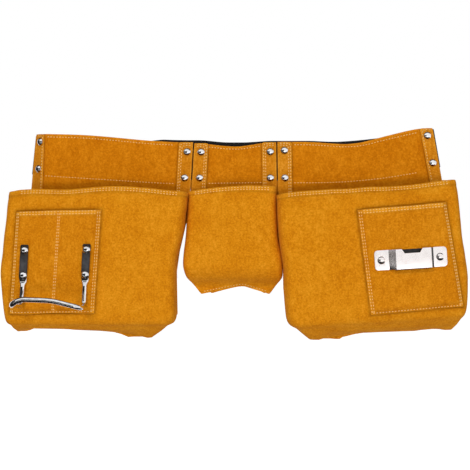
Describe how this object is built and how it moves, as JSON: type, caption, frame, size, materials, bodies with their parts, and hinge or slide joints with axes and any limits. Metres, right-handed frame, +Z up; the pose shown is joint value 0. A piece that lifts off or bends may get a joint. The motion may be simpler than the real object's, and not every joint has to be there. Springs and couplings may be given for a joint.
{
  "type": "tool belt",
  "caption": "Carpenter's tool belt: hinged suede panels with nail bags, pockets, a wire hammer loop and a tape clip on webbing with a side release buckle.",
  "frame": {"origin": "wearer's side of the belt webbing, at the middle of the centre panel", "axes": "+X to the right as seen from the front (the wearer's left), +Y back towards the wearer, +Z up"},
  "size_m": [0.592, 0.1282, 0.2728],
  "materials": {
    "suede_panel": "napped split suede",
    "suede_bag": "napped split suede",
    "suede_strip": "napped split suede",
    "black_webbing": "woven polypropylene",
    "rivet_chrome": "polished caps",
    "loop_chrome": "polished wire",
    "clip_steel": "nickel plated",
    "black_leather": "smooth black",
    "black_plastic": "moulded acetal"
  },
  "bodies": {
    "center_unit": {"web_belt_center": "black_webbing", "center_facing": "suede_panel", "center_strip_left": "suede_strip", "center_strip_right": "suede_strip", "center_rivets": "rivet_chrome", "center_pouch_back": "suede_bag", "center_pouch_front": "suede_bag", "left_gap_web": "black_webbing", "right_gap_web": "black_webbing"},
    "left_unit": {"web_belt_left": "black_webbing", "left_facing": "suede_panel", "left_inner_strip": "suede_strip", "left_outer_strip": "suede_strip", "left_rivets": "rivet_chrome", "left_bag_back": "suede_bag", "left_bag_front": "suede_bag", "hammer_pocket": "suede_bag", "hammer_loop": "loop_chrome", "hammer_strap_left": "black_leather", "hammer_strap_right": "black_leather", "hammer_rivets": "rivet_chrome", "left_belt_fold": "black_webbing"},
    "right_unit": {"web_belt_right": "black_webbing", "right_facing": "suede_panel", "right_inner_strip": "suede_strip", "right_outer_strip": "suede_strip", "right_rivets": "rivet_chrome", "right_bag_back": "suede_bag", "right_bag_front": "suede_bag", "tape_pocket": "suede_bag", "tape_clip": "clip_steel", "tape_clip_rivets": "clip_steel", "right_belt_fold": "black_webbing"},
    "left_tail": {"left_strap": "black_webbing", "buckle_male": "black_plastic"},
    "right_tail": {"right_strap": "black_webbing", "buckle_female": "black_plastic"},
    "keeper": {"strap_keeper": "black_plastic"},
    "prong_upper": {"buckle_prong_upper": "black_plastic"},
    "prong_lower": {"buckle_prong_lower": "black_plastic"}
  },
  "joints": [
    {"name": "left_wrap", "type": "hinge", "parent": "center_unit", "child": "left_unit", "pos_m": [-0.0549, -0.0008, 0], "axis": [0, 0, -1], "range_deg": [0, 70], "deforming": ["left_gap_web"]},
    {"name": "right_wrap", "type": "hinge", "parent": "center_unit", "child": "right_unit", "pos_m": [0.0545, -0.0008, 0], "axis": [0, 0, 1], "range_deg": [0, 70], "deforming": ["right_gap_web"]},
    {"name": "left_strap_fold", "type": "hinge", "parent": "left_unit", "child": "left_tail", "pos_m": [-0.26117, 0.01621, 0.0096], "axis": [0.1028, -0.0086, 0.9947], "range_deg": [0, 135], "deforming": ["left_belt_fold"]},
    {"name": "right_strap_fold", "type": "hinge", "parent": "right_unit", "child": "right_tail", "pos_m": [0.25948, 0.0022, 0.0176], "axis": [0.1724, -0.0014, -0.985], "range_deg": [0, 165], "deforming": ["right_belt_fold"]},
    {"name": "keeper_slide", "type": "slide", "parent": "left_tail", "child": "keeper", "axis": [0.9912, -0.0826, -0.1032], "range_m": [-0.085, 0.008]},
    {"name": "prong_lower_flex", "type": "hinge", "parent": "left_tail", "child": "prong_lower", "pos_m": [-0.0887, 0.00847, -0.03021], "axis": [-0.083, -0.9965, 0], "range_deg": [0, 11], "stiffness_Nm_per_rad": 0.2},
    {"name": "prong_upper_flex", "type": "hinge", "parent": "left_tail", "child": "prong_upper", "pos_m": [-0.08422, 0.0081, 0.01315], "axis": [0.083, 0.9965, 0], "range_deg": [0, 11], "stiffness_Nm_per_rad": 0.2}
  ],
  "couplings": [
    {"joint": "prong_upper_flex", "follows": "prong_lower_flex", "ratio": 1}
  ]
}
